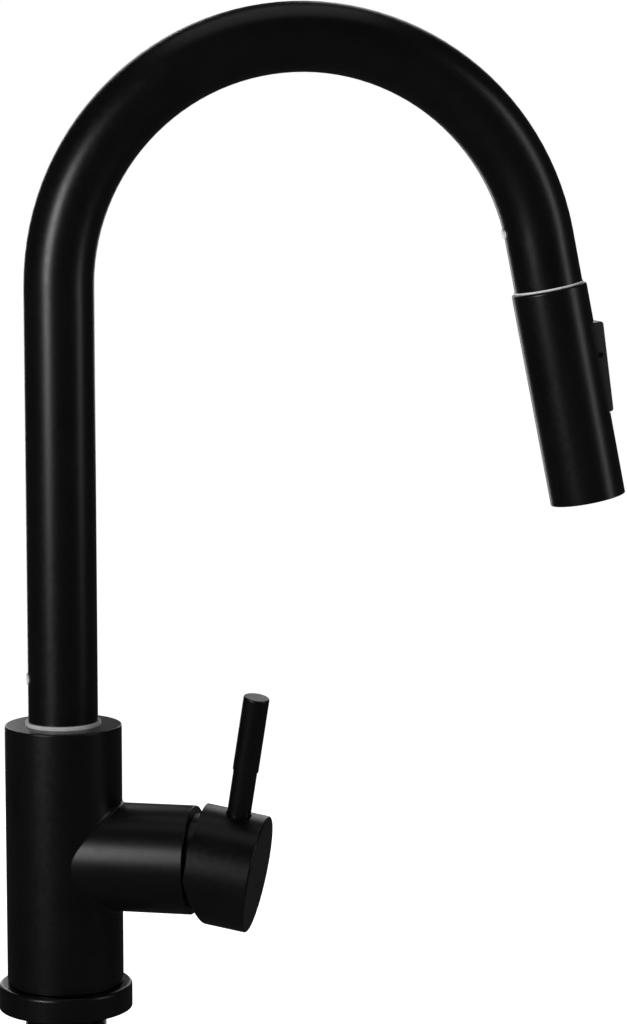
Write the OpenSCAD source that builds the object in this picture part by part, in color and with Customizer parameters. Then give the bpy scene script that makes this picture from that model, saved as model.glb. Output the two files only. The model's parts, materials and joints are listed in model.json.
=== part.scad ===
// Pull-down kitchen faucet: a tee-shaped body with a side lever, a gooseneck spout that
// swivels on it, and a spray head that pulls out of the spout on a hose.
// Millimetres. Z = 0 is the deck under the base, Z is the riser's axis, and the spout
// points along +X.

/* [Spout] */
// Outer radius of the spout tube
tube_r = 14; // [13.5:0.1:14.5]
// Wall of the spout tube
tube_wall = 1.1; // [0.8:0.1:1.4]
// Radius of the gooseneck's centre line
arch_r = 98.6; // [85:0.1:120]
// Height of the gooseneck's centre above the deck
arch_z = 291.6; // [250:0.1:330]
// Angle between the spout's end and the vertical
dock_tilt = 11.4; // [5:0.1:20]
// Straight length of tube after the bend
end_straight = 21; // [20:0.1:40]

/* [Spray head] */
// Outer radius of the spray head
head_r = 15.5; // [15.3:0.1:16.5]
// Length of the spray head
head_len = 88; // [86:0.1:95]
// Angle between the rocker's face and the head's side
rocker_lean = 3.6; // [2:0.1:5]

/* [Body] */
// Outer radius of the body's column
body_r = 23.5; // [23:0.1:25]
// Height of the column's top above the deck
body_top = 116.3; // [114:0.1:135]
// Outer radius of the base flange
flange_r = 27; // [26.5:0.1:32]
// Height of the base flange's top
flange_top = 10.3; // [9:0.1:14]

/* [Side branch and lever] */
// Direction of the side branch around Z, in degrees from the spout
branch_az = -21.3; // [-120:0.1:-15]
// Height of the branch's axis
branch_z = 63; // [61:0.1:66]
// Outer radius of the branch
branch_r = 21.8; // [21.5:0.1:22.5]
// Outer radius of the handle cap
cap_r = 23.6; // [23:0.1:24.5]
// Length of the handle cap, from the pivot to its flat end
cap_len = 28.2; // [27:0.1:34]
// Turn of the lever about the branch from straight up (mixed water is 0)
lever_lean = 6.7; // [-40:0.1:40]
// Tilt of the lever away from the column (shut is 0)
lever_tilt = 10; // [1:1:21]
// Reach of the lever's tip from the cap's axis
lever_reach = 73; // [60:0.5:90]

/* [Mounting] */
// Outer radius of the threaded shank
shank_r = 16.5; // [16.4:0.1:16.6]
// Length of the shank below the deck
shank_drop = 62; // [60:1:80]
// Thickness of the deck that the nut is drawn up against
deck_t = 20; // [10:1:26]
// Bore radius of the supply ports, M8 x 1
port_r = 3.75; // [3.5:0.05:3.8]

/* [Hidden] */
$fn = 96;
cut = 1;                                  // how far a cutting tool runs past a face
rim_edge = 0.6;                           // rounding of the body's rims
running = 0.05;                           // radial clearance of a turning or sliding fit

hose_r = 6;
hose_way_r = 6.8;                         // hose passage through the body
tube_in = tube_r - tube_wall;
bend_step = 0.02;
socket_r = tube_r + 1.3;                  // bore that the riser turns in
socket_z = 72;                            // floor of that bore
glide_proud = 1.5;                        // white ring's height above the column
tube_foot = 88;                           // lower end of the riser
groove_z = [77, 83];                      // retaining groove in the swivel insert
screw_z = 80;
hose_split = 100;                         // the hose's fixed and turning stretches meet here
riser_nub_z = 135.2;                      // snap nub of the swivel insert
nub_proud = 0.5;

dock_x = arch_r + arch_r * cos(dock_tilt) + end_straight * sin(dock_tilt);
dock_z = arch_z + arch_r * sin(dock_tilt) - end_straight * cos(dock_tilt);
dock_nub_z = end_straight + 3.6;          // snap nub of the docking insert
dock_nub_r = 2;
dock_nub_proud = 0.9;
dock_flange = 0.8;                        // white ring between the spout and the head
dock_bore = 10.06;
head_top = -dock_flange - 0.05;
head_end = head_top - head_len;
head_in = head_r - 1.6;
rocker_top = -17.8;
rocker_end = -54.8;
rocker_w = 14;
rocker_proud = 2.6;                       // how far its top stands out of the head
rocker_pin = [14.6, -31.2];               // X and Z of the rocker's pin in the dock's frame
rocker_pin_r = 1;
plunger_r = 3;
plunger_z = -48.2;
aerator_r = 7.5;
nozzle_rings = [[9.4, 16], [12, 22]];     // radius and number of nozzles
nozzle_r = 0.7;

body_foot = flange_top + 0.6;             // underside of the column, above the flange
spigot_r = 20;
port_floor = 33;                          // face that the supply ports open from
port_len = 11;
port_ring = 10.7;
port_turns = [-62, 0, 62];                // hot, outlet and cold, from the branch
way_r = 2.8;

pivot_s = 52.2;                           // lever pivot, measured out along the branch
branch_end = 54;
cavity_s = 17;
cavity_r = 17.7;
nut_s = 46;
nut_r = 19.2;
disc_face = 37;
rotor_r = 10.9;
stem_drop = 11.5;                         // pivot to the stem's inner ball
ball_r = 2.6;
cap_lip = 2.5;                            // pivot to the cap's open end
cap_relief = 23;                          // slant of the lower half of that end
cap_in = cap_r - 3.1;
cap_floor = 14;
lever_s = 16.7;                           // lever's place along the cap
lever_step = 42.3;
rod_r = 4.8;
grip_r = 5.2;
set_screw_s = 18;

washer_z = -deck_t;
nut_top = washer_z - 4.5;
nut_h = 12;
clamp_ring = 20.6;
shank_pilot = 19;                         // plain tip that guides the nut onto the thread
nipple_end = -90;
hose_end = -70;

black = "#1c1c1d";
nylon = "#e9e8e4";
steel = "#b9bcc0";
brass = "#c9a24c";
rubber = "#2b2b2b";
plastic = "#3a3b3d";
ceramic = "#f3efe6";

// Frames. The branch's X runs out along the branch. The turret's turns with the lever about
// that axis, and the handle's X is the cap's axis, with Z along the lever. The dock's Z runs
// up into the spout from the tube's end, and its X faces away from the column.
module at_branch() { translate([0, 0, branch_z]) rotate([0, 0, branch_az]) children(); }
module at_turret() { at_branch() rotate([lever_lean, 0, 0]) children(); }
module at_handle() {
  at_turret() translate([pivot_s, 0, 0]) rotate([0, lever_tilt, 0]) children();
}
module at_dock() { translate([dock_x, 0, dock_z]) rotate([0, -dock_tilt, 0]) children(); }

// Solids between two stations, along Z or along X.
module rod(z0, z1, r) { translate([0, 0, z0]) cylinder(h = z1 - z0, r = r); }
module ring(z0, z1, r, bore) {
  difference() {
    rod(z0, z1, r);
    rod(z0 - cut, z1 + cut, bore);
  }
}
module along_x() { rotate([0, 90, 0]) children(); }
module rod_x(x0, x1, r) { along_x() rod(x0, x1, r); }
module ring_x(x0, x1, r, bore) { along_x() ring(x0, x1, r, bore); }
module block(low, high) { translate(low) cube(high - low); }

// A revolved bar whose far edge is rounded by e.
module round_bar(z0, z1, r, e) {
  rotate_extrude() {
    translate([0, z0]) square([r, z1 - z0 - e]);
    translate([0, z0]) square([r - e, z1 - z0]);
    translate([r - e, z1 - e]) circle(e);
  }
}
// An O-ring of section radius s on a circle of radius r.
module o_ring(z, r, s) { rotate_extrude() translate([r, z]) circle(s); }
// Places things on the three supply ports' axes.
module at_ports() {
  for (turn = port_turns) rotate(branch_az + turn) translate([port_ring, 0, 0]) children();
}
module at_outlet_port() { rotate(branch_az) translate([port_ring, 0, 0]) children(); }

// Body and what is fixed in it
module port_ways() {
  at_ports() rod(port_floor - cut, port_floor + port_len, port_r);
  at_ports() rod(port_floor + port_len - cut, branch_z - 4, way_r);
  at_branch() for (turn = port_turns)
    translate([0, port_ring * sin(turn), -6.5])
      rod_x(port_ring * cos(turn), cavity_s + cut, way_r);
}
module faucet_body() {
  color(black) difference() {
    union() {
      round_bar(body_foot, body_top, body_r, rim_edge);
      rod(1.6, body_foot + cut, spigot_r);
      at_branch() along_x() round_bar(0, branch_end, branch_r, rim_edge);
    }
    rod(socket_z, body_top + cut, socket_r);
    rod(port_floor - cut, socket_z + cut, hose_way_r);
    rod(0, port_floor, shank_r);
    port_ways();
    at_branch() rod_x(cavity_s, nut_s + cut, cavity_r);
    at_branch() rod_x(nut_s, branch_end + cut, nut_r);
    translate([0, 0, screw_z]) rod_x(-body_r - cut, -tube_r, 2.5);
  }
}
module base_flange() {
  color(black) difference() {
    round_bar(0.4, flange_top, flange_r, 1.5);
    rod(0, flange_top + cut, spigot_r);
    rod(0, 1.6, flange_r - 1.3);
  }
}
module base_gasket() { color(rubber) ring(0, 1.6, flange_r - 1.4, shank_r + 0.4); }
module shank() {
  color(black) difference() {
    union() {
      rod(-shank_drop, port_floor - 1, shank_r - 0.3);
      rod(-shank_drop + shank_pilot, port_floor - 1, shank_r);
    }
    rod(-shank_drop - cut, port_floor, shank_r - 1.9);
  }
}
module deck_gasket() { color(rubber) ring(washer_z - 3, washer_z, 27, shank_r + 0.4); }
module deck_washer() { color(steel) ring(nut_top, washer_z - 3, 27, shank_r + 0.4); }
module mounting_nut() {
  color(brass) difference() {
    union() {
      rod(nut_top - 6, nut_top, 25);
      translate([0, 0, nut_top - nut_h]) cylinder(h = nut_h, r = 22.5, $fn = 6);
    }
    rod(nut_top - nut_h - cut, nut_top + cut, shank_r);
    for (turn = [30, 210])
      rotate(turn) translate([clamp_ring, 0, nut_top - nut_h - cut]) cylinder(h = 30, r = 2.5);
  }
}
module clamp_screws() {
  color(steel) for (turn = [30, 210]) rotate(turn) translate([clamp_ring, 0, 0])
    difference() {
      union() {
        rod(nut_top - 14, nut_top, 2.5);
        rod(nut_top - 17, nut_top - 14, 3.6);
      }
      translate([-5, -0.6, nut_top - 18]) cube([10, 1.2, 2.2]);
    }
}
module retaining_screw() {
  color(steel) translate([0, 0, screw_z]) difference() {
    union() {
      rod_x(-body_r + 0.6, -socket_r - 0.2, 2.5);
      rod_x(-body_r + 3, -tube_r - 0.4, 1.9);
    }
    along_x() translate([0, 0, -body_r]) cylinder(h = 3, r = 1.3, $fn = 6);
  }
}
module outlet_nipple() {
  color(steel) at_outlet_port() difference() {
    union() {
      rod(nipple_end, port_floor + port_len - 1, port_r);
      rod(nipple_end + 12, nipple_end + 14, port_r + 0.4);
    }
    rod(nipple_end - cut, port_floor + port_len, 2.5);
    ring(nipple_end + 9, nipple_end + 10.4, port_r + 1, port_r - 0.6);
  }
}
module lower_hose() { color(steel) rod(hose_end, hose_split, hose_r); }
module hose_coupler() {
  color(brass) difference() {
    union() {
      rod(hose_end - 4, hose_end + 10, hose_r + 0.6);
      rod(hose_end - 14, hose_end - 3, 6.2);
    }
    rod(hose_end, hose_end + 11, hose_r);
    rod(hose_end - 15, hose_end - 2, 4.1);
  }
}

// Cartridge: its fixed parts, then the turret, the disc and the stem that move
module cartridge_housing() {
  color(plastic) at_branch() difference() {
    union() {
      rod_x(cavity_s + 0.6, nut_s + 1, cavity_r - 0.2);
      rod_x(nut_s, 55, rotor_r + 1.2);
    }
    rod_x(disc_face - 4, 43.5, 15.5);
    rod_x(43, 56, rotor_r + running);
    for (turn = port_turns) translate([0, port_ring * sin(turn), -6.5]) rod_x(17, 34, way_r);
  }
}
module cartridge_seals() {
  color(rubber) at_branch() for (turn = port_turns)
    translate([0, port_ring * sin(turn), -6.5])
      ring_x(cavity_s, cavity_s + 0.6, way_r + 1.4, way_r);
}
module fixed_disc() {
  color(ceramic) at_branch() difference() {
    rod_x(disc_face - 4, disc_face, 15.4);
    for (turn = port_turns)
      translate([0, port_ring * sin(turn), -6.5]) rod_x(disc_face - 5, disc_face + 1, way_r);
  }
}
module cartridge_nut() {
  color(brass) at_branch() difference() {
    rod_x(nut_s + 1, 51.8, nut_r);
    rod_x(nut_s, 53, rotor_r + 1.3);
    for (turn = [0:60:300])
      rotate([turn, 0, 0]) block([50, -1.6, nut_r - 4], [53, 1.6, nut_r + 1]);
  }
}
module bonnet_ring() {
  color(black) at_branch() along_x() rotate_extrude() difference() {
    union() {
      translate([14, 51.9]) square([nut_r - 0.3 - 14, 2.6]);
      intersection() {
        translate([0, pivot_s + 1.6]) circle(nut_r - 0.3);
        translate([14, 54]) square([8, 5.6]);
      }
    }
    translate([0, pivot_s + 1.6]) circle(nut_r - 2.3);
  }
}
module cartridge_rotor() {
  color(nylon) at_turret() difference() {
    union() {
      rod_x(43.7, 56.6, rotor_r);
      rod_x(42.3, 43.4, 13.5);
      rod_x(43.3, 43.8, rotor_r);
    }
    block([41, -4.4, -9.6], [58, 4.4, 9.6]);
    translate([pivot_s, 0, 0]) rotate([90, 0, 0]) translate([0, 0, -12]) rod(0, 24, 1.5);
  }
}
module stem_pin() {
  color(steel) at_turret() translate([pivot_s, 0, 0]) rotate([90, 0, 0]) rod(-10.4, 10.4, 1.5);
}
module moving_disc() {
  color(ceramic) at_turret() translate([0, 0, stem_drop * sin(lever_tilt)]) difference() {
    rod_x(disc_face + 0.05, disc_face + 5, 10.5);
    rod_x(disc_face + 1, disc_face + 6, ball_r + 0.6);
  }
}
module cartridge_stem() {
  color(steel) at_handle() difference() {
    union() {
      block([-4.2, -4.1, -4.5], [cap_floor + 7.5, 4.1, 4.5]);
      rod_x(-stem_drop, -3, 1.9);
      translate([-stem_drop, 0, 0]) sphere(ball_r);
    }
    rotate([90, 0, 0]) rod(-6, 6, 1.5 + running);
  }
}

// Handle
module handle_cap() {
  color(black) at_handle() difference() {
    along_x() round_bar(-cap_r, cap_len, cap_r, 0.8);
    rod_x(-cap_r - cut, cap_floor, cap_in);
    block([-cap_r - cut, -30, -30], [cap_lip, 30, 30]);
    translate([cap_lip, 0, 0]) rotate([0, -cap_relief, 0]) block([-30, -30, -50], [0, 30, 0]);
    block([cap_floor - cut, -4.1, -4.5], [cap_floor + 7.6, 4.1, 4.5]);
    translate([lever_s, 0, 0]) rod(9, cap_r + cut, 3);
    translate([lever_s, 0, 0]) rod(cap_r - 2, cap_r + cut, rod_r + 0.4);
    translate([set_screw_s, 0, 0]) rod(-cap_r - cut, -4, 2.5);
  }
}
module lever_rod() {
  color(black) at_handle() translate([lever_s, 0, 0]) {
    rod(9.5, cap_r - 1.9, 3);
    rod(cap_r - 2, lever_step + 0.1, rod_r);
    rod(lever_step, lever_reach - 4, 3.4);
  }
}
module lever_grip() {
  color(black) at_handle() translate([lever_s, 0, 0]) difference() {
    round_bar(lever_step + 0.1, lever_reach, grip_r, 0.6);
    rod(lever_step, lever_reach - 4, 3.4);
  }
}
module set_screw() {
  color(steel) at_handle() translate([set_screw_s, 0, 0]) difference() {
    rod(-16, -4.5, 2.5);
    translate([0, 0, -17]) cylinder(h = 4, r = 1.4, $fn = 6);
  }
}
module screw_plug() {
  color(black) at_handle() translate([set_screw_s, 0, 0]) {
    rod(-cap_r + 0.3, -17, 2.5);
  }
}

// Spout
// A round bar of radius r along the gooseneck, from height foot to end below the dock. The
// bend's radius differs by step, so that the straight runs overlap it by a clean edge.
module gooseneck(foot, end, r, step) {
  rod(foot, arch_z + cut, r);
  translate([arch_r, 0, arch_z]) rotate([90, 0, 0]) rotate([0, 0, dock_tilt])
    rotate_extrude(angle = 180 - dock_tilt) translate([arch_r, 0]) circle(r + step);
  at_dock() rod(end, end_straight + cut, r);
}
module spout_tube() {
  color(black) difference() {
    gooseneck(tube_foot, 0, tube_r, -bend_step);
    gooseneck(tube_foot - cut, -cut, tube_in, bend_step);
    at_dock() translate([0, 0, dock_nub_z])
      rod_x(-tube_r - 2, -tube_in + 2, dock_nub_r + 0.1);
    translate([0, 0, riser_nub_z]) rod_x(-tube_r - 2, -tube_in + 2, 2.3);
  }
}
module glide_ring() {
  color(nylon) ring(body_top - 12, body_top + glide_proud, socket_r - running, tube_r + running);
}
module swivel_insert() {
  color(nylon) difference() {
    union() {
      rod(socket_z + 0.1, tube_foot, socket_r - running);
      rod(tube_foot - cut, riser_nub_z + 5, tube_in);
      translate([0, 0, riser_nub_z]) rod_x(-tube_r - nub_proud, -10, 2.2);
    }
    rod(socket_z - cut, riser_nub_z + 6, hose_way_r + 0.4);
    ring(groove_z[0], groove_z[1], socket_r + cut, tube_r - 0.6);
  }
}
module docking_insert() {
  color(nylon) at_dock() difference() {
    union() {
      rod(-dock_flange, 0, tube_r + 0.3);
      rod(-0.5, 18, tube_in - running);
      rod(17, dock_nub_z + 3, tube_in - 0.4);
      translate([0, 0, dock_nub_z]) rod_x(-tube_r - dock_nub_proud, -10, dock_nub_r);
    }
    rod(-dock_flange - cut, 16, dock_bore);
    rod(15, dock_nub_z + 5, 8.4);
  }
}
module pull_hose() { color(steel) gooseneck(hose_split + 0.2, -8, hose_r, -bend_step); }

// Spray head
module head_shell() {
  color(black) at_dock() difference() {
    round_bar(head_end, head_top, head_r, 1);
    rod(head_end - cut, head_top - 2.5, head_in);
    rod(head_top - 3, head_top + cut, 10);
    block([8, -rocker_w / 2 - 0.4, rocker_end - 0.6],
          [head_r + 2, rocker_w / 2 + 0.4, rocker_top + 0.6]);
  }
}
module dock_collar() {
  color(plastic) at_dock() difference() {
    union() {
      rod(head_top - 5, head_top - 2.5, head_in);
      rod(head_top - 3, 12, 10);
      translate([0, 0, 12]) cylinder(h = 3, r1 = 10, r2 = 9);
    }
    rod(head_top - 6, 16, 7.5);
  }
}
module hose_ferrule() { color(steel) at_dock() ring(-9, 6, 7.5, hose_r + running); }
module hose_nut() {
  color(brass) at_dock() difference() {
    union() {
      translate([0, 0, -13]) cylinder(h = 4, r = 8.4, $fn = 6);
      rod(-18, -12, 5.5);
    }
    rod(-19, -8, 3.2);
  }
}
module inlet_washer() { color(rubber) at_dock() ring(-20, -18, 5.5, 3.2); }
module waterway_core() {
  color(plastic) at_dock() difference() {
    rod(head_end + 5, -15, head_in - 1);
    rod(-20, -14, 5.5);
    rod(-60, -19, 3);
    block([6.8, -rocker_w / 2 - 0.8, rocker_end - 1.4],
          [head_r, rocker_w / 2 + 0.8, -14]);
    translate([0, 0, plunger_z]) rod_x(-5, 8, plunger_r + running);
    rod(head_end + 4, head_end + 14, aerator_r + 0.1);
    rod(-77, -59, 2.6);
    ring(head_end + 4, head_end + 8, head_in - 2.6, aerator_r + 1.2);
    ring(head_end + 10, head_end + 12, head_in, head_in - 2.4);
  }
}
module core_seal() { color(rubber) at_dock() o_ring(head_end + 11, head_in - 1.2, 0.9); }
module toggle_bracket() {
  color(steel) at_dock() difference() {
    union() {
      block([6.8, -5, rocker_pin[1] - 11], [8, 5, rocker_pin[1] + 10]);
      block([7, -2, rocker_pin[1] - 1.6], [rocker_pin[0], 2, rocker_pin[1] + 1.6]);
      translate([rocker_pin[0], 0, rocker_pin[1]]) rotate([90, 0, 0]) rod(-2, 2, 1.9);
    }
    translate([rocker_pin[0], 0, rocker_pin[1]]) rotate([90, 0, 0]) rod(-3, 3, rocker_pin_r);
  }
}
module toggle_pin() {
  color(black) at_dock() translate([rocker_pin[0], 0, rocker_pin[1]]) rotate([90, 0, 0])
    rod(-rocker_w / 2 + 0.3, rocker_w / 2 - 0.3, rocker_pin_r);
}
module toggle_rocker() {
  tall = rocker_top - rocker_end;
  face = head_r + rocker_proud;
  foot = face - tall * tan(rocker_lean);
  color(black) at_dock() difference() {
    rotate([90, 0, 0]) translate([0, 0, -rocker_w / 2]) linear_extrude(rocker_w)
      polygon([[10.8, rocker_end + 1.4], [13, rocker_end], [foot - 0.6, rocker_end],
               [foot, rocker_end + 0.8], [face, rocker_top - 0.8], [face - 0.8, rocker_top],
               [12.5, rocker_top], [10.8, rocker_top - 1.4]]);
    block([10, -2.4, rocker_pin[1] - 3.4], [rocker_pin[0] + 2.3, 2.4, rocker_pin[1] + 3.4]);
    translate([rocker_pin[0], 0, rocker_pin[1]]) rotate([90, 0, 0])
      rod(-rocker_w, rocker_w, rocker_pin_r + running);
  }
}
module diverter_plunger() {
  color(brass) at_dock() translate([0, 0, plunger_z]) {
    rod_x(-3.5, 8.2, plunger_r);
    rod_x(8.1, 9.2, plunger_r + 0.9);
  }
}
module at_nozzles() {
  for (row = nozzle_rings) for (i = [0 : row[1] - 1])
    rotate(360 * i / row[1]) translate([row[0], 0, 0]) children();
}
module nozzle_plate() {
  color(plastic) at_dock() difference() {
    rod(head_end + 0.8, head_end + 4, head_in);
    rod(head_end, head_end + 5, aerator_r + 0.3);
    at_nozzles() rod(head_end, head_end + 5, nozzle_r);
  }
}
module spray_nozzles() {
  color(rubber) at_dock() at_nozzles() difference() {
    rod(head_end + 0.2, head_end + 4.2, nozzle_r);
    rod(head_end, head_end + 5, 0.3);
  }
}
module aerator() {
  color(steel) at_dock() difference() {
    rod(head_end + 1, head_end + 12, aerator_r);
    rod(head_end, head_end + 2.4, aerator_r - 1);
    for (turn = [0:60:300]) rotate(turn) translate([2.3, 0, head_end + 2]) cylinder(h = 12, r = 0.7);
    for (turn = [15:30:345]) rotate(turn) translate([4.8, 0, head_end + 2]) cylinder(h = 12, r = 0.7);
    rod(head_end + 2, head_end + 13, 0.7);
  }
}

faucet_body();
base_flange();
base_gasket();
shank();
deck_gasket();
deck_washer();
mounting_nut();
clamp_screws();
retaining_screw();
outlet_nipple();
lower_hose();
hose_coupler();
cartridge_housing();
cartridge_seals();
fixed_disc();
cartridge_nut();
bonnet_ring();
spout_tube();
glide_ring();
swivel_insert();
docking_insert();
pull_hose();
head_shell();
dock_collar();
hose_ferrule();
hose_nut();
inlet_washer();
waterway_core();
toggle_bracket();
toggle_pin();
core_seal();
nozzle_plate();
spray_nozzles();
aerator();
toggle_rocker();
diverter_plunger();
cartridge_rotor();
stem_pin();
moving_disc();
cartridge_stem();
handle_cap();
lever_rod();
lever_grip();
set_screw();
screw_plug();
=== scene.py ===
"""Pull-down kitchen faucet in satin black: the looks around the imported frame. Metres, Z up."""
import json
import math

import bmesh
import bpy
from mathutils import Matrix, Vector


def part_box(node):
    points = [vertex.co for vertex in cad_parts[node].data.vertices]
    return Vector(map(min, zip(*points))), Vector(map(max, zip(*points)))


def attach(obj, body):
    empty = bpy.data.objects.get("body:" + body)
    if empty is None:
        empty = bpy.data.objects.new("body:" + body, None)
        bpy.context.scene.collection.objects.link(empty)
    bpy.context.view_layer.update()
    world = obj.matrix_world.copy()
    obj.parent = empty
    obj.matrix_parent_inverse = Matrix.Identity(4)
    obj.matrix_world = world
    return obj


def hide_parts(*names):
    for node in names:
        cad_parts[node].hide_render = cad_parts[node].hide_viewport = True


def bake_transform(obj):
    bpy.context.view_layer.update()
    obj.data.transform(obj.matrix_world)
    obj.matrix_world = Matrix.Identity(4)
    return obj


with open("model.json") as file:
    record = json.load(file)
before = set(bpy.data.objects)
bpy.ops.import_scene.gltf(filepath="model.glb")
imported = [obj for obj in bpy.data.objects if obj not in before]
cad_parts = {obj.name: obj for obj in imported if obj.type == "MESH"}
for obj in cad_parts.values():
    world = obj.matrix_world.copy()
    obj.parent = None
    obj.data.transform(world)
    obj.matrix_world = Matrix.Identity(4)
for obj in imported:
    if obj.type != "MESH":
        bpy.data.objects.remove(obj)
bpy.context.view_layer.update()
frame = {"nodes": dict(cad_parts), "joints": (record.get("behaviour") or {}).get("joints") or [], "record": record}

MM = 0.001
JOINTS = {joint["name"]: joint for joint in frame["joints"]}

# ---------------------------------------------------------------- camera, floor and light
CAMERA_PLACE = Vector((-0.10285, -1.14311, 0.33599))
CAMERA_TURN = (83.322, 0, -10.17)
CAMERA_LENS = 101.53
FLOOR_Z = -0.27
FLOOR_GLOW = 1.0                            # the floor's own light, which makes it plain and pale
AMBIENT = 0.03                              # light from all around, apart from the lamps
AIM = (0.08, 0, 0.25)                       # what the lights point at


def make_camera():
    camera = bpy.data.cameras.new("camera")
    camera.lens = CAMERA_LENS
    camera.sensor_width = 36
    camera.clip_start = 0.01
    camera.clip_end = 100
    holder = bpy.data.objects.new("camera", camera)
    holder.location = CAMERA_PLACE
    holder.rotation_euler = [math.radians(turn) for turn in CAMERA_TURN]
    bpy.context.scene.collection.objects.link(holder)
    bpy.context.scene.camera = holder


def material(name, color, roughness, metallic=0.0, specular=0.5):
    """A Principled material and its shader node."""
    made = bpy.data.materials.new(name)
    made.use_nodes = True
    shader = made.node_tree.nodes["Principled BSDF"]
    shader.inputs["Base Color"].default_value = (*color, 1)
    shader.inputs["Roughness"].default_value = roughness
    shader.inputs["Metallic"].default_value = metallic
    shader.inputs["Specular IOR Level"].default_value = specular
    return made, shader


def make_floor():
    bpy.ops.mesh.primitive_plane_add(size=60, location=(0, 0, FLOOR_Z))
    floor = bpy.context.object
    floor.name = "floor"
    made, shader = material("floor_paint", (0.8, 0.8, 0.8), 0.9, specular=0.0)
    shader.inputs["Emission Color"].default_value = (1, 1, 1, 1)
    shader.inputs["Emission Strength"].default_value = FLOOR_GLOW
    floor.data.materials.append(made)
    floor.visible_glossy = False


def area_light(name, place, size, power, aim=AIM):
    light = bpy.data.lights.new(name, "AREA")
    light.shape = "RECTANGLE"
    light.size, light.size_y = size
    light.energy = power
    holder = bpy.data.objects.new(name, light)
    holder.location = place
    holder.rotation_euler = (Vector(aim) - Vector(place)).to_track_quat("-Z", "Y").to_euler()
    bpy.context.scene.collection.objects.link(holder)


def beside_camera(turn, reach, height):
    """A place at this angle about the object from the camera's side; to the left is negative."""
    toward = CAMERA_PLACE - Vector(AIM)
    angle = math.atan2(toward.y, toward.x) + math.radians(turn)
    return (AIM[0] + reach * math.cos(angle), AIM[1] + reach * math.sin(angle), height)


def make_studio():
    world = bpy.data.worlds.new("studio")
    bpy.context.scene.world = world
    world.use_nodes = True
    nodes, links = world.node_tree.nodes, world.node_tree.links
    seen = nodes["Background"]
    seen.inputs["Color"].default_value = (1, 1, 1, 1)
    seen.inputs["Strength"].default_value = 1.0
    lit = nodes.new("ShaderNodeBackground")
    lit.inputs["Color"].default_value = (1, 1, 1, 1)
    lit.inputs["Strength"].default_value = AMBIENT
    rays = nodes.new("ShaderNodeLightPath")
    mix = nodes.new("ShaderNodeMixShader")
    links.new(rays.outputs["Is Camera Ray"], mix.inputs["Fac"])
    links.new(lit.outputs["Background"], mix.inputs[1])
    links.new(seen.outputs["Background"], mix.inputs[2])
    links.new(mix.outputs["Shader"], nodes["World Output"].inputs["Surface"])
    area_light("key", beside_camera(-39, 1.7, 0.55), (0.5, 0.8), 12.5)
    area_light("side", beside_camera(72, 1.6, 0.65), (0.4, 1.2), 3.4)
    area_light("rim", beside_camera(-162, 1.6, 0.5), (0.5, 1.4), 4)
    area_light("back", beside_camera(168, 1.6, 0.7), (0.5, 1.3), 2.6)
    area_light("top", (0.1, 0.1, 1.9), (1.4, 1.4), 2.5, aim=(0.1, 0, 0))
    scene = bpy.context.scene
    scene.view_settings.view_transform = "Standard"
    scene.view_settings.look = "None"


make_camera()
make_floor()
make_studio()

# ---------------------------------------------------------------- materials

BRAID_STRANDS = 12                          # helical strands each way around the hose
BRAID_PER_METRE = 2400                      # how fast their phase runs along it, in radians


class Grain:
    """Bump, roughness and colour detail for one material, in the object's own coordinates."""

    def __init__(self, made, shader):
        self.nodes, self.links = made.node_tree.nodes, made.node_tree.links
        self.shader = shader
        self.place = self.nodes.new("ShaderNodeTexCoord").outputs["Object"]
        self.normal = None

    def mapped(self, location=(0, 0, 0), turn=(0, 0, 0), stretch=(1, 1, 1)):
        mapping = self.nodes.new("ShaderNodeMapping")
        mapping.vector_type = "TEXTURE"
        mapping.inputs["Location"].default_value = location
        mapping.inputs["Rotation"].default_value = turn
        mapping.inputs["Scale"].default_value = stretch
        self.links.new(self.place, mapping.inputs["Vector"])
        return mapping.outputs["Vector"]

    def noise(self, per_metre, detail=3.0, stretch=(1, 1, 1)):
        noise = self.nodes.new("ShaderNodeTexNoise")
        noise.inputs["Scale"].default_value = per_metre
        noise.inputs["Detail"].default_value = detail
        self.links.new(self.mapped(stretch=stretch), noise.inputs["Vector"])
        return noise.outputs["Fac"]

    def math(self, operation, *values):
        node = self.nodes.new("ShaderNodeMath")
        node.operation = operation
        for socket, value in zip(node.inputs, values):
            if isinstance(value, (int, float)):
                socket.default_value = value
            else:
                self.links.new(value, socket)
        return node.outputs[0]

    def bump(self, height, strength, distance):
        bump = self.nodes.new("ShaderNodeBump")
        bump.inputs["Strength"].default_value = strength
        bump.inputs["Distance"].default_value = distance
        self.links.new(height, bump.inputs["Height"])
        if self.normal is not None:
            self.links.new(self.normal, bump.inputs["Normal"])
        self.normal = bump.outputs["Normal"]
        self.links.new(self.normal, self.shader.inputs["Normal"])

    def spread(self, value, low, high):
        """Roughness between low and high, by a noise value."""
        ranged = self.nodes.new("ShaderNodeMapRange")
        ranged.inputs["From Min"].default_value = 0.3
        ranged.inputs["From Max"].default_value = 0.7
        ranged.inputs["To Min"].default_value = low
        ranged.inputs["To Max"].default_value = high
        self.links.new(value, ranged.inputs["Value"])
        self.links.new(ranged.outputs["Result"], self.shader.inputs["Roughness"])

    def tint(self, value, dark, light):
        """Base colour between dark and light, by a value."""
        ramp = self.nodes.new("ShaderNodeValToRGB")
        ramp.color_ramp.elements[0].color = (*dark, 1)
        ramp.color_ramp.elements[0].position = 0.3
        ramp.color_ramp.elements[1].color = (*light, 1)
        ramp.color_ramp.elements[1].position = 0.7
        self.links.new(value, ramp.inputs["Fac"])
        self.links.new(ramp.outputs["Color"], self.shader.inputs["Base Color"])


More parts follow.
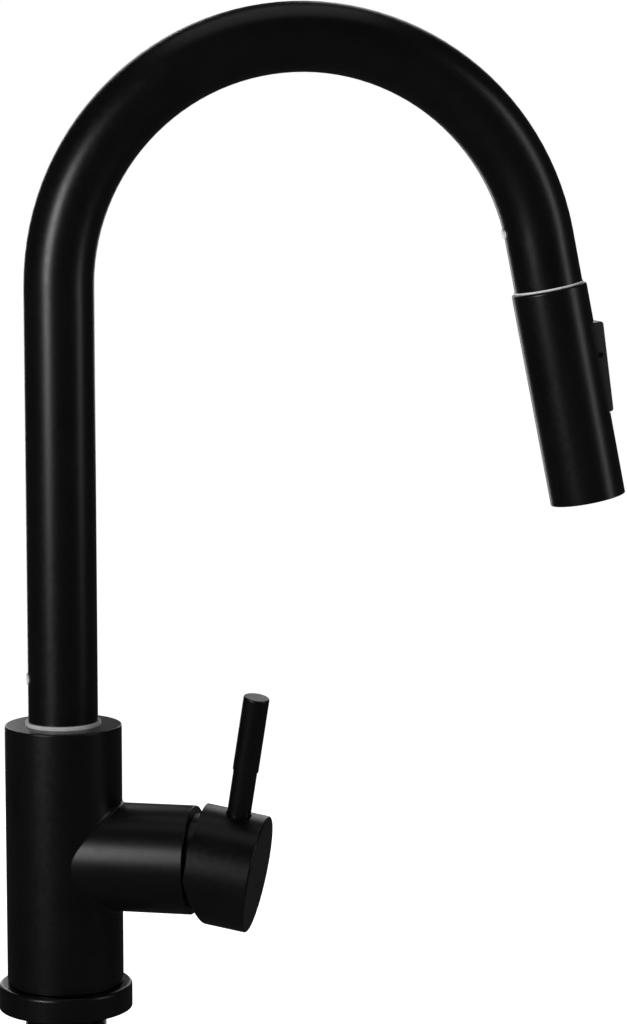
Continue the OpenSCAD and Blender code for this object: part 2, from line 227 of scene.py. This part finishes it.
def satin_black():
    """Baked coating: a faint orange peel, a fine tooth, and slow changes of gloss and tone."""
    made, shader = material("satin_black", (0.002, 0.002, 0.0022), 0.3, specular=0.4)
    grain = Grain(made, shader)
    grain.tint(grain.noise(55), (0.0015, 0.0015, 0.0016), (0.0024, 0.0024, 0.0026))
    grain.spread(grain.noise(420, 5), 0.28, 0.34)
    grain.bump(grain.noise(480, 2), 0.05, 0.0002)
    grain.bump(grain.noise(3800, 2), 0.1, 0.00004)
    return made


def moulded(name, color, roughness, subsurface=0.0):
    """Moulded plastic or rubber: eggshell bump, slightly uneven colour, a few dull patches."""
    made, shader = material(name, color, roughness)
    shader.inputs["Subsurface Weight"].default_value = subsurface
    shader.inputs["Subsurface Scale"].default_value = 0.002
    grain = Grain(made, shader)
    grain.tint(grain.noise(140), tuple(part * 0.86 for part in color), color)
    grain.spread(grain.noise(300, 5), roughness * 0.85, roughness * 1.2)
    grain.bump(grain.noise(1300), 0.12, 0.00006)
    return made


def turned_metal(name, color, roughness):
    """Lathe-turned metal: fine rings across Z, and smudges of tone and gloss."""
    made, shader = material(name, color, roughness, metallic=1.0)
    grain = Grain(made, shader)
    grain.tint(grain.noise(90, 4), tuple(part * 0.8 for part in color), color)
    grain.spread(grain.noise(260, 5), roughness * 0.8, roughness * 1.3)
    grain.bump(grain.noise(900, 2, stretch=(8, 8, 0.25)), 0.16, 0.00005)
    return made


def ceramic():
    """Lapped alumina, with a fine even grain and a trace of mottling."""
    made, shader = material("ceramic", (0.84, 0.81, 0.75), 0.18)
    grain = Grain(made, shader)
    grain.tint(grain.noise(500), (0.8, 0.77, 0.7), (0.87, 0.85, 0.79))
    grain.spread(grain.noise(700, 4), 0.14, 0.24)
    grain.bump(grain.noise(5000, 1), 0.04, 0.00002)
    return made


def braid(name, location, turn):
    """Nylon braid over a hose whose axis is Z after this move: two families of helical strands."""
    made, shader = material(name, (0.3, 0.3, 0.31), 0.5)
    grain = Grain(made, shader)
    split = grain.nodes.new("ShaderNodeSeparateXYZ")
    grain.links.new(grain.mapped(location, turn), split.inputs["Vector"])
    around = grain.math("MULTIPLY", grain.math("ARCTAN2", split.outputs["Y"], split.outputs["X"]),
                        BRAID_STRANDS)
    along = grain.math("MULTIPLY", split.outputs["Z"], BRAID_PER_METRE)
    right = grain.math("SINE", grain.math("ADD", around, along))
    left = grain.math("SINE", grain.math("SUBTRACT", around, along))
    over = grain.math("ABSOLUTE", grain.math("MULTIPLY", right, left))
    weave = grain.math("POWER", over, 0.45)
    grain.tint(grain.math("MULTIPLY", weave, 0.8), (0.035, 0.035, 0.038), (0.3, 0.3, 0.31))
    grain.spread(grain.noise(900), 0.4, 0.6)
    grain.bump(weave, 0.8, 0.0004)
    grain.bump(grain.noise(4000), 0.15, 0.00005)
    return made


# ---------------------------------------------------------------- frames from the joints


def frame_at(place, x, y, z):
    """The move that takes the world's axes to x, y and z, with its origin at place."""
    return Matrix.Translation(place) @ Matrix((x, y, z)).transposed().to_4x4()


def joint_axis(name):
    return Vector(JOINTS[name]["axis"]).normalized()


# The dock's Z runs up into the spout from the tube's end, and its X faces away from the column.
DOCK_X, DOCK_Z = joint_axis("diverter_slide"), -joint_axis("head_pull")
DOCK_TILT = math.atan2(DOCK_X.z, DOCK_X.x)
PIN_X, PIN_Z = 14.6, -31.2                  # the rocker's pin in the dock's frame
DOCK_AT = Vector(JOINTS["toggle_rock"]["pos_m"]) - (DOCK_X * PIN_X + DOCK_Z * PIN_Z) * MM
DOCK = frame_at(DOCK_AT, DOCK_X, Vector((0, 1, 0)), DOCK_Z)
# The branch's X runs out along the branch.
BRANCH_X, UP = joint_axis("lever_turn"), Vector((0, 0, 1))
BRANCH = frame_at(Vector(JOINTS["lever_turn"]["pos_m"]), BRANCH_X, UP.cross(BRANCH_X), UP)
DECK = Matrix.Identity(4)

# ---------------------------------------------------------------- mesh helpers, in millimetres


def turns(steps):
    return [2 * math.pi * i / steps for i in range(steps)]


def spaced(low, high, step):
    count = math.ceil((high - low) / step)
    return [low + (high - low) * i / count for i in range(count + 1)]


def circle(radius, height, steps=64, centre=(0, 0)):
    return [(centre[0] + radius * math.cos(turn), centre[1] + radius * math.sin(turn), height)
            for turn in turns(steps)]


def join_rings(bm, rings, closed):
    """Joins loops of points by quads into a solid: its ends meet, or each gets a cap."""
    made = [[bm.verts.new(point) for point in ring] for ring in rings]
    count = len(made[0])
    for low, high in zip(made, made[1:] + made[:1] if closed else made[1:]):
        for i in range(count):
            j = (i + 1) % count
            bm.faces.new((low[i], low[j], high[j], high[i]))
    if not closed:
        bm.faces.new(made[0])
        bm.faces.new(made[-1])


def bored_bar(bm, radius, heights, bore, steps=96):
    """A bar about Z with a bore, whose outer radius is a function of turn and height."""
    outer = [[(radius(turn, height) * math.cos(turn), radius(turn, height) * math.sin(turn),
               height) for turn in turns(steps)] for height in heights]
    join_rings(bm, [circle(bore, heights[0], steps), *outer, circle(bore, heights[-1], steps)],
               closed=True)


def finish_piece(name, bm, place, slot, finish=None, sharp=40):
    """Makes the object from a mesh in millimetres in the given frame."""
    bmesh.ops.recalc_face_normals(bm, faces=bm.faces)
    bm.transform(place @ Matrix.Scale(MM, 4))
    mesh = bpy.data.meshes.new(name)
    bm.to_mesh(mesh)
    bm.free()
    mesh.shade_smooth()
    mesh.set_sharp_from_angle(angle=math.radians(sharp))
    mesh.materials.append(finish or MATERIALS[slot])
    piece = bpy.data.objects.new(name, mesh)
    bpy.context.scene.collection.objects.link(piece)
    return piece


# ---------------------------------------------------------------- the CAD parts' materials

MATERIALS = {
    "satin_black": satin_black(),
    "white_nylon": moulded("white_nylon", (0.8, 0.8, 0.78), 0.4, subsurface=0.1),
    "steel": turned_metal("steel", (0.56, 0.57, 0.58), 0.28),
    "brass": turned_metal("brass", (0.72, 0.53, 0.24), 0.3),
    "black_rubber": moulded("black_rubber", (0.02, 0.02, 0.02), 0.7),
    "grey_plastic": moulded("grey_plastic", (0.06, 0.06, 0.065), 0.45),
    "black_plastic": moulded("black_plastic", (0.02, 0.02, 0.021), 0.38),
    "grey_silicone": moulded("grey_silicone", (0.12, 0.12, 0.125), 0.55),
    "ceramic": ceramic(),
    "braided_hose": braid("braided_hose", (0, 0, 0), (0, 0, 0)),
}
BRAID_AT_DOCK = braid("braid_at_dock", DOCK_AT, (0, -DOCK_TILT, 0))

SLOTS = {part["node"]: part["material_slot"] for part in frame["record"]["subparts"]}
for node, piece in frame["nodes"].items():
    piece.data.materials.clear()
    piece.data.materials.append(MATERIALS[SLOTS[node]])
    for face in piece.data.polygons:
        face.material_index = 0


def soften(node, width, segments=3):
    """Breaks the sharp edges of a CAD part that keeps its own mesh."""
    piece = frame["nodes"][node]
    weld = piece.modifiers.new("weld", "WELD")
    weld.merge_threshold = 0.000002
    bevel = piece.modifiers.new("bevel", "BEVEL")
    bevel.width = width * MM
    bevel.segments = segments
    bevel.limit_method = "ANGLE"
    bevel.angle_limit = math.radians(40)
    bevel.harden_normals = True


soften("toggle_rocker", 0.4)

# ---------------------------------------------------------------- body and mounting hardware

COLUMN_R = -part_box("faucet_body")[0].x / MM
BRANCH_R = 21.8
WELD_R = 1.5                                # radius of the fillet between column and branch
THREAD_PITCH = 1.5
THREAD_DEPTH = 0.9
SHANK_WALL = 1.9
SHANK_TIP = 19                              # plain tip that guides the nut onto the thread
NUT_CORNER_R = 22.5
NUT_FLANGE = 6


def weld_fillet(steps=120, arc=8):
    """The fillet where the branch meets the column, left by a ball rolled along the corner."""
    column, branch = COLUMN_R + WELD_R, BRANCH_R + WELD_R
    rings = []
    for turn in turns(steps):
        y, z = branch * math.cos(turn), branch * math.sin(turn)
        ball = Vector((math.sqrt(column ** 2 - y ** 2), y, z))
        to_column = -Vector((ball.x, y, 0)) / column
        to_branch = -Vector((0, y, z)) / branch
        ring = [ball + WELD_R * to_column.slerp(to_branch, i / arc) for i in range(arc + 1)]
        corner = (to_column + to_branch) / (1 + to_column.dot(to_branch))
        rings.append([*ring, ball + 1.15 * WELD_R * corner])
    bm = bmesh.new()
    join_rings(bm, rings, closed=True)
    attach(finish_piece("weld_fillet", bm, BRANCH, "satin_black", sharp=70), "base")


def threaded_shank():
    """The shank: a helical thread that runs out at the deck and above the plain tip."""
    low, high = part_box("shank")
    foot, top, crest = low.z / MM, high.z / MM, high.y / MM
    thread_foot = foot + SHANK_TIP

    def radius(turn, height):
        if height < thread_foot:
            return crest - 0.3 - 0.7 * max(0, 1 - (height - foot))
        phase = (height / THREAD_PITCH - turn / (2 * math.pi)) % 1
        run_out = min(1, (height - thread_foot) / THREAD_PITCH, max(0, -height) / THREAD_PITCH)
        return crest - THREAD_DEPTH * min(1, 1.25 * (1 - abs(2 * phase - 1))) * run_out

    heights = [foot, foot + 1, thread_foot - 0.05, *spaced(thread_foot, 0, 0.25), top]
    bm = bmesh.new()
    bored_bar(bm, radius, heights, crest - SHANK_WALL, steps=72)
    shank = finish_piece("threaded_shank", bm, DECK, "satin_black", sharp=55)
    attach(shank, "base")
    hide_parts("shank")


def flanged_nut():
    """The mounting nut: six flats whose lower corners are turned off, under a round flange."""
    low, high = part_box("mounting_nut")
    foot, top, rim = low.z / MM, high.z / MM, high.y / MM
    flange = top - NUT_FLANGE
    flat = NUT_CORNER_R * math.cos(math.pi / 6)

    def radius(turn, height):
        if height > flange:
            return rim - max(0, 0.5 - min(height - flange, top - height))
        across = turn % (math.pi / 3) - math.pi / 6
        return min(flat / math.cos(across), flat + 0.6 + height - foot)

    heights = [*spaced(foot, foot + 2.6, 0.2), flange, flange + 0.01, flange + 0.5, top - 0.5, top]
    bm = bmesh.new()
    bored_bar(bm, radius, heights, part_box("shank")[1].y / MM, steps=144)
    nut = finish_piece("flanged_nut", bm, DECK, "brass", sharp=25)
    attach(nut, "base")
    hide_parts("mounting_nut")


# ---------------------------------------------------------------- hose

HOSE_R = -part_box("lower_hose")[0].x / MM
HOSE_FOOT = -8                              # its end in the head, in the dock's frame
HOSE_JOIN = 20                              # where the part that is drawn out begins
BEND_R = 98.6
STRAIGHT_END = 21                           # straight length of tube after the bend


def hose_in_spout():
    """The hose along the gooseneck: up the riser, over the bend and down to the join."""
    bend_end = DOCK_AT / MM + DOCK_Z * STRAIGHT_END
    centre = bend_end - DOCK_X * BEND_R
    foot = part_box("pull_hose")[0].z / MM
    route = [(Vector((0, 0, foot)), 0)]
    route += [(centre + BEND_R * Vector((-math.cos(turn), 0, math.sin(turn))), turn)
              for turn in spaced(0, math.pi - DOCK_TILT, math.radians(3))]
    route.append((DOCK_AT / MM + DOCK_Z * HOSE_JOIN, math.pi - DOCK_TILT))
    rings = [[point + HOSE_R * Vector((-math.cos(around) * math.cos(turn), math.sin(around),
                                       math.cos(around) * math.sin(turn)))
              for around in turns(24)] for point, turn in route]
    bm = bmesh.new()
    join_rings(bm, rings, closed=False)
    hose = finish_piece("hose_in_spout", bm, DECK, "braided_hose")
    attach(hose, "spout")
    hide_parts("pull_hose")


def hose_at_dock():
    """The hose that comes out with the head: close rings along the dock's Z, from its end in the head up to the
    join.
    """
    bm = bmesh.new()
    rings = [circle(HOSE_R, height, 32) for height in spaced(HOSE_FOOT, HOSE_JOIN, 0.1)]
    join_rings(bm, rings, closed=False)
    hose = finish_piece("hose_at_dock", bm, DOCK, "braided_hose", finish=BRAID_AT_DOCK)
    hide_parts("pull_hose")
    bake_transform(hose)


# ---------------------------------------------------------------- spray face

JET_RINGS = ((9.4, 16), (12, 22))           # radius and number of jets


def spray_jets():
    """Soft tapered jets that stand a little out of the face, each with its own bore."""
    back = DOCK.inverted()
    heights = [(back @ vertex.co).z / MM for vertex in frame["nodes"]["spray_nozzles"].data.vertices]
    tip, root = min(heights), max(heights) - 3
    outline = ((0.3, tip + 0.1), (0.42, tip), (0.52, tip + 0.08), (0.72, tip + 0.6),
               (1, tip + 0.7), (1, root), (0.3, root))
    bm = bmesh.new()
    for ring, count in JET_RINGS:
        for turn in turns(count):
            centre = (ring * math.cos(turn), ring * math.sin(turn))
            join_rings(bm, [circle(radius, height, 16, centre) for radius, height in outline],
                       closed=True)
    jets = finish_piece("spray_jets", bm, DOCK, "grey_silicone")
    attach(jets, "spray_head")
    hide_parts("spray_nozzles")


weld_fillet()
threaded_shank()
flanged_nut()
hose_in_spout()
hose_at_dock()
spray_jets()
